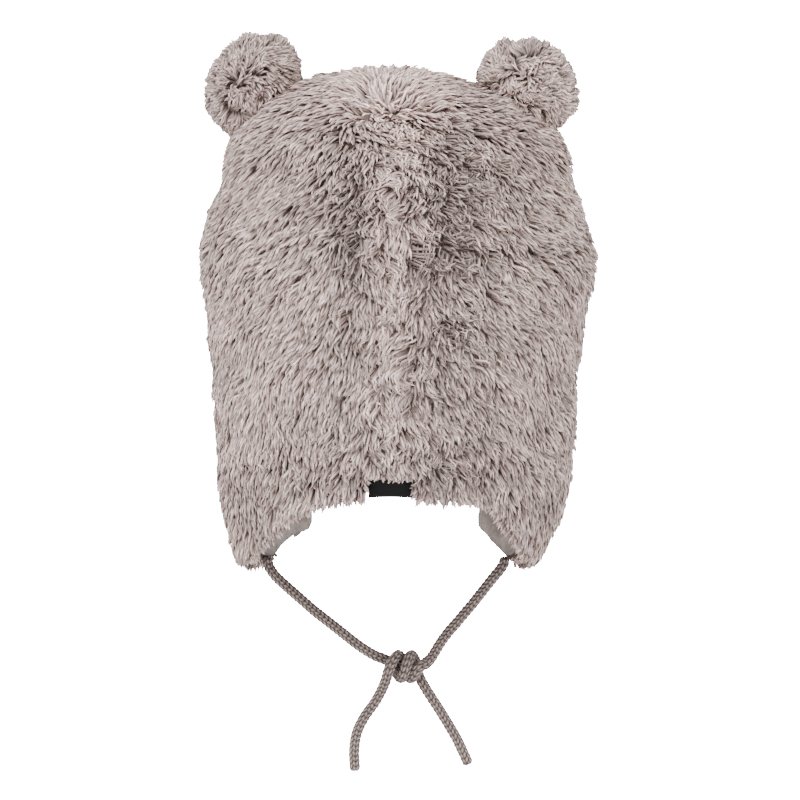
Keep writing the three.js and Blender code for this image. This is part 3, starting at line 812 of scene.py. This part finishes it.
def gather(locks, middles, pull):
    """Draws the locks' tips together over the middles of their tufts."""
    side = unit(np.cross(locks["out"], locks["lay"]))
    away = middles - locks["root"]
    locks["curl"] += pull * dot(away, side)[:, 0]
    locks["reach"] += 0.6 * pull * dot(away, locks["lay"])[:, 0]


def patches(points):
    """How rough and how tufted the pile is, and the painted light and shade on its colour, from the patches
    on the back.
    """
    rough, tufted, light = np.zeros((3, len(points)))
    back = np.clip(points[:, 1] / (20 * MM) + 0.5, 0, 1)
    for i in range(len(PATCHES["x"])):
        dx = (points[:, 0] / MM - PATCHES["x"][i]) / PATCHES["wide"][i]
        dz = (points[:, 2] / MM - PATCHES["z"][i]) / PATCHES["high"][i]
        near = np.exp(-(dx**2 + dz**2)) * back
        rough = np.maximum(rough, PATCHES["rough"][i] * near)
        tufted = np.maximum(tufted, PATCHES["tufted"][i] * near)
        # Painted light and shade, summed over the patches
        light += PATCHES["light"][i] * near
    return rough * (1 - 0.7 * tufted), tufted, light


def pile_flow(turn, run):
    """The pile's way: parted over the crown, towards the seam beside it, outwards and down elsewhere."""
    place = head_point(turn, run)
    out, down, around = directions(turn, run)
    seam = head_point(0.0, run)[:, 0]
    side = np.where(place[:, 0] > seam, 1, -1)
    level = -place[:, 2] / HAT_DROP
    beside = np.abs(place[:, 0] - seam)
    outer = np.clip((beside - RIDGE_HALF) / PARTING + 0.5, 0, 1)
    outwards = np.where(side > 0, read(FLOW, "level", "left", level), read(FLOW, "level", "right", level))
    inwards = np.where(place[:, 1] > 0, read(FLOW, "level", "inwards", level), 0)
    angle = side * (outwards * outer - inwards * (1 - outer) * np.clip(beside / (4 * MM), 0, 1))
    flow = turned(down, around, np.radians(angle))

    forwards = along_surface(np.array([0, -1, -0.2]), out)
    sideways = along_surface(side[:, None] * np.array([1.0, 0, 0]), out)
    fan = np.radians(20 + 60 * np.clip(beside / CREST_HALF, 0, 1))
    parted = turned(forwards, sideways, fan)
    before = (head_point(0.0, CREST * CROWN_RUN)[1] - place[:, 1]) / (6 * MM) + 0.5
    beside_crest = (CREST_HALF - beside) / (14 * MM) + 0.5
    above = (CREST_LEVEL - level) / 0.15
    share = np.clip(before, 0, 1) * np.clip(beside_crest, 0, 1) * np.clip(above, 0, 1)
    return along_surface(parted * share[:, None] + flow * (1 - share[:, None]), out)


def hat_locks():
    """Every lock of the hat's pile."""
    dice = np.random.default_rng(3)
    turn, run = scatter(LOCK_SPACING, dice)
    low_turn, low_run = scatter(UNDER_SPACING, dice)
    under = np.append(np.zeros(len(turn)), np.ones(len(low_turn)))
    turn, run = np.append(turn, low_turn), np.append(run, low_run)
    rough, tufted, light = patches(head_point(turn, run))
    keep = inside_hem(turn, run) & ((under == 0) | (rough + tufted > UNDER_FROM))
    kept = [values[keep] for values in (turn, run, under, rough, tufted, light)]
    turn, run, under, rough, tufted, light = kept
    rough, tufted = rough * (1 - under), tufted * (1 - under)
    place = head_point(turn, run)
    out, down, _ = directions(turn, run)
    count = len(turn)
    tuft_turn, tuft_run = scatter(TUFT, dice)
    tufts = head_point(tuft_turn, tuft_run)
    tuft, off_middle = nearest_of(place, tufts)
    tuft_lean, tuft_tone, tuft_wave, tuft_curl, tuft_stand = dice.normal(0, 1, (5, len(tufts)))[:, tuft]

    own_flow = pile_flow(turn, run)
    tuft_flow = pile_flow(tuft_turn, tuft_run)[tuft]
    together = (0.3 + 0.5 * rough + 0.6 * tufted).clip(0, 1)[:, None]
    flow = along_surface(own_flow * (1 - together) + tuft_flow * together, out)
    drift = 12 * ripple(place, 34 * MM, 7) + 8 * ripple(place, 11 * MM, 8)
    tousled = 20 * ripple(place, 13 * MM, 9) + 14 * ripple(place, 5 * MM, 17)
    tousled += 10 * dice.normal(0, 1, count)
    from_crest = np.linalg.norm(place - head_point(0.0, CREST * CROWN_RUN), axis=1)
    crest = np.exp(-((from_crest / CREST_SPOT) ** 2))
    lean = (5 + 14 * rough + 20 * tufted) * tuft_lean + rough * tousled
    lean += (6 - 3 * tufted + 45 * crest + 24 * under) * dice.normal(0, 1, count)
    lay = turned(flow, np.cross(flow, out), np.radians(drift + lean))
    lumps = ripple(place, 24 * MM, 12)
    crinkle = rough * ripple(place, 5 * MM, 18)
    seam = head_point(0.0, run)[:, 0]
    ridge = np.clip(1 - np.abs(place[:, 0] - seam) / RIDGE_HALF, 0, 1) * (place[:, 1] > 0)
    mound = (0.15 + 0.35 * rough + 0.7 * tufted) * (1 - off_middle / TUFT)
    stand = 0.8 + 0.1 * lumps + mound + 0.1 * ridge + 0.15 * crinkle
    stand += 0.2 * tufted * tuft_stand.clip(-1, 1.5)
    curl = dice.normal(0, 0.7 + 1.3 * rough, count) + (0.8 + 2.4 * rough) * ripple(place, 11 * MM, 14)
    locks = {
        "root": place + out * (LOCK_ROOT + dice.uniform(-0.6, 0.6, count) * MM)[:, None],
        "out": out,
        "lay": lay,
        "reach": LOCK_REACH
        * dice.uniform(0.75, 1.2, count)
        * (1 - 0.5 * rough + 0.2 * tufted - 0.3 * under)
        * (1 - 0.3 * crest),
        "stand": LOCK_STAND
        * (stand + 0.15 * crest - 0.35 * under + 0.1 * dice.normal(0, 1, count).clip(-2, 2)),
        "width": LOCK_WIDTH * dice.uniform(0.7, 1.25, count) * (1 - 0.3 * rough),
        "curl": (curl + 2.2 * tufted * tuft_curl) * MM,
        "wave": ((0.3 + 0.6 * rough + tufted) * tuft_wave + dice.normal(0, 0.3, count)) * MM,
        "roll": dice.normal(0, 0.3, count),
        "twist": dice.normal(0, 0.5, count),
        "shift": dice.uniform(0, 4, count),
        # Tone: each lock's own and its tuft's at random, plus painted light and shade: from the patches
        # (light), lighter where the lumps and crinkles raise the pile and darker between, and painted shade
        # on the lower layer (under).
        "tone": 0.45
        + 0.16 * dice.normal(0, 1, count)
        + (0.07 + 0.05 * tufted) * tuft_tone
        + 0.5 * light
        + 0.06 * lumps
        + 0.16 * crinkle
        - 0.05 * under,
    }
    gather(locks, tufts[tuft], 0.25 + 0.2 * rough + 0.35 * tufted)
    hem_gap, hang = hem_distance(place)
    over = hem_gap / np.maximum(dot(lay, down)[:, 0], 0.5) + FRINGE * hang * dice.uniform(0.6, 1.15, count)
    locks["reach"] = np.clip(locks["reach"], SHORTEST, np.maximum(over, SHORTEST))
    locks["turn"], locks["run"], locks["left"] = turn, run, place[:, 0] > 0
    return locks


def chosen(locks, keep):
    return {key: values[keep] for key, values in locks.items()}


def clear_of_ears(locks):
    """Leaves out the locks that an ear sits on."""
    keep = np.ones(len(locks["root"]), bool)
    for ear in EARS.values():
        centre = ear_place(ear)[0]
        keep &= np.linalg.norm(locks["root"] - centre, axis=1) > EAR_LIFT + 1 * MM
    return chosen(locks, keep)


def clear_of_label(locks):
    """Ends the locks that would cover the label where its shown part begins."""
    hem_run = hem_at(np.array(0.0))[1]
    room = hem_run + LABEL_BELOW_HEM - LABEL_SHOWN - locks["run"]
    x = locks["root"][:, 0] - LABEL_OFF_CENTRE
    tip_x = x + locks["lay"][:, 0] * locks["reach"]
    behind = locks["root"][:, 1] > 0
    aimed = behind & (np.minimum(np.abs(x), np.abs(tip_x)) < LABEL_WIDTH / 2) & (locks["reach"] > room)
    ended = np.clip(room - LABEL_CLEAR, LABEL_LOCK, locks["reach"])
    locks["reach"] = np.where(aimed, ended, locks["reach"])
    return chosen(locks, ~(behind & (np.abs(x) < LABEL_WIDTH / 2) & (room < LABEL_LOCK)))


def rim_locks():
    """Locks along the hem that hang over its edge."""
    dice = np.random.default_rng(21)
    count = RIM_LOCKS
    around = (np.arange(count) + dice.random(count)) / count
    turn, run, hang = hem_at(around)
    edge = cloth_at(around, np.ones(count), np.full(count, (BACKING_IN + BACKING_OUT) / 2))
    out, down, _ = directions(turn, run)
    before = cloth_at((around - 0.001) % 1, np.ones(count), np.zeros(count))
    after = cloth_at((around + 0.001) % 1, np.ones(count), np.zeros(count))
    ahead = unit(after - before)
    off = unit(np.cross(ahead, out))
    off *= np.sign(dot(off, down))
    lay = unit(off * 0.6 + down * 0.6 + ahead * dice.normal(0, 0.25, count)[:, None])
    locks = {
        "root": edge + out * (dice.uniform(0, 3.2, count) * MM)[:, None] - lay * 2.5 * MM,
        "out": out,
        "lay": lay,
        "reach": (FRINGE * hang + 2 * MM) * dice.uniform(0.6, 1.1, count),
        "stand": dice.uniform(0.5, 3.5, count) * MM,
        "width": LOCK_WIDTH * dice.uniform(0.7, 1.2, count),
        "curl": dice.normal(0, 1.2, count) * MM,
        "wave": dice.normal(0, 0.25, count) * MM,
        "roll": dice.normal(0, 0.5, count),
        "twist": dice.normal(0, 0.5, count),
        "shift": dice.uniform(0, 4, count),
        "tone": 0.65 + 0.13 * dice.normal(0, 1, count),
        "turn": turn,
        "run": run,
        "left": edge[:, 0] > 0,
    }
    return chosen(locks, hang > 0.15)


def make_pile(material):
    """The hat's pile in six pieces: crown, back and front of each side of the seam."""
    parts = [clear_of_ears(hat_locks()), rim_locks()]
    locks = {key: np.concatenate([part[key] for part in parts]) for key in parts[0]}
    locks = clear_of_label(locks)
    crown = locks["run"] < 0.8 * CROWN_RUN
    back = np.cos(locks["turn"]) > 0
    for left, side in ((True, "left"), (False, "right")):
        for zone, keep in (("crown", crown), ("back", ~crown & back), ("front", ~crown & ~back)):
            piece = lock_mesh(f"pile_{side}_{zone}", chosen(locks, keep & (locks["left"] == left)))
            finish_piece(piece, material, "fur", f"fur_panel_{side}")


def ear_place(ear):
    """The middle of an ear, and which way it stands off the crown."""
    turn, run = math.radians(ear["turn"]), ear["down"] * CROWN_RUN
    out = directions(turn, run)[0]
    return head_point(turn, run) + out * (BACKING_OUT + EAR_LIFT), out


def even_ways(count):
    """Directions spread evenly over a ball."""
    k = np.arange(count) + 0.5
    height = 1 - 2 * k / count
    ring = np.sqrt(1 - height**2)
    spin = k * math.pi * (3 - math.sqrt(5))
    return np.stack([ring * np.cos(spin), ring * np.sin(spin), height], axis=-1)


def make_ear(name, ear, fur, core_fur):
    """A stuffed ball whose curled pile lies away from a swirl."""
    centre, out = ear_place(ear)
    half = EAR_HALF * (ear["wide"], 1, ear["tall"])
    form = np.diag(half)
    form[0, 2] = ear["lean"] * half[2]
    shape = bmesh.new()
    bmesh.ops.create_icosphere(shape, subdivisions=4, radius=EAR_CORE)
    bmesh.ops.transform(shape, matrix=Matrix.Translation(centre) @ Matrix(form).to_4x4(), verts=shape.verts)
    # The ball under the pile takes the pile floor's tone and colour, painted shade deep in the pile.
    layer = shape.verts.layers.float.new("tone")
    for vert in shape.verts:
        vert[layer] = BED_SHADE_TONE
    mesh = bpy.data.meshes.new(f"{name}_ball")
    shape.to_mesh(mesh)
    shape.free()
    mesh.shade_smooth()
    ball = finish_piece(object_of(f"{name}_ball", mesh), core_fur, "fur", name)

    dice = np.random.default_rng(ear["seed"])
    count = EAR_LOCKS
    way = even_ways(count)
    way = unit(way + dice.normal(0, 0.03, way.shape))
    normal = unit(way @ np.linalg.inv(form))
    swirl = unit(np.array(ear["swirl"]))
    away = unit(normal * dot(way, swirl) - swirl)
    away = unit(away - normal * dot(away, normal))
    aside = np.cross(normal, away)
    near = np.exp(-(np.arccos(np.clip(dot(way, swirl)[:, 0], -1, 1)) ** 2) / 0.6)
    tufts = unit(even_ways(EAR_TUFTS) + dice.normal(0, 0.05, (EAR_TUFTS, 3)))
    tuft, off_middle = nearest_of(way, tufts)
    tuft_lean, tuft_tone, tuft_wave, tuft_curl = dice.normal(0, 1, (4, len(tufts)))[:, tuft]
    angle = (0.3 + 0.9 * near) * tuft_lean + 0.35 * ripple(way, 0.9, ear["seed"])
    angle += (0.12 + 0.4 * near) * dice.normal(0, 1, count)
    root = centre + (way * (EAR_CORE - 0.02)) @ form.T
    locks = {
        "root": root,
        "out": normal,
        "lay": turned(away, aside, angle),
        "reach": dice.uniform(6, 9, count) * MM * (1 - 0.25 * near),
        "stand": MM
        * (dice.uniform(2.6, 3.6, count) + 1.8 * near + 9 * (0.13 - off_middle) + ripple(way, 0.6, 41)),
        "width": LOCK_WIDTH * dice.uniform(0.6, 1.0, count),
        "curl": (dice.normal(0, 0.6, count) + (0.8 + near) * tuft_curl + 1.5 * ripple(way, 0.6, 42)) * MM,
        "wave": (dice.normal(0, 0.3, count) + 0.7 * tuft_wave) * MM,
        "roll": dice.normal(0, 0.4, count),
        "twist": dice.normal(0, 0.5, count),
        "shift": dice.uniform(0, 4, count),
        "tone": ear["tone"] + 0.1 * dice.normal(0, 1, count) + 0.1 * tuft_tone,
    }
    gather(locks, centre + (tufts[tuft] * EAR_CORE) @ form.T, 0.4)
    tip = root + locks["lay"] * locks["reach"][:, None] + normal * locks["stand"][:, None]
    seat = centre - out * EAR_LIFT
    clear = (dot(root - seat, out)[:, 0] > 3 * MM) & (dot(tip - seat, out)[:, 0] > 2 * MM)
    pile = lock_mesh(f"{name}_pile", chosen(locks, clear))
    finish_piece(pile, fur, "fur", name)


put_camera()
light_stage()
make_cord("cord_left_knit", LEFT_CORD, "cord_left", "tie_knot", "tail_right")
make_cord("cord_right_knit", RIGHT_CORD, "cord_right", "tie_knot", "tail_left")
# The roots' colour is painted shade deep in the pile.
SHADED_ROOT_COLOUR = srgb(100, 82, 77)
TIP_COLOUR = srgb(246, 227, 222)
# The bed's colour is painted shade deep in the pile.
BED_SHADE_COLOUR = srgb(130, 110, 103)
FUR = fur_material("deep_pile", SHADED_ROOT_COLOUR, TIP_COLOUR, 0.88)
BED = fur_material("pile_floor_painted_shade", BED_SHADE_COLOUR, BED_SHADE_COLOUR)
make_lining()
make_bed("backing_left", True, "fur_panel_left", BED)
make_bed("backing_right", False, "fur_panel_right", BED)
make_label()
make_pile(FUR)
for ear_name, ear_row in EARS.items():
    make_ear(ear_name, ear_row, FUR, BED)
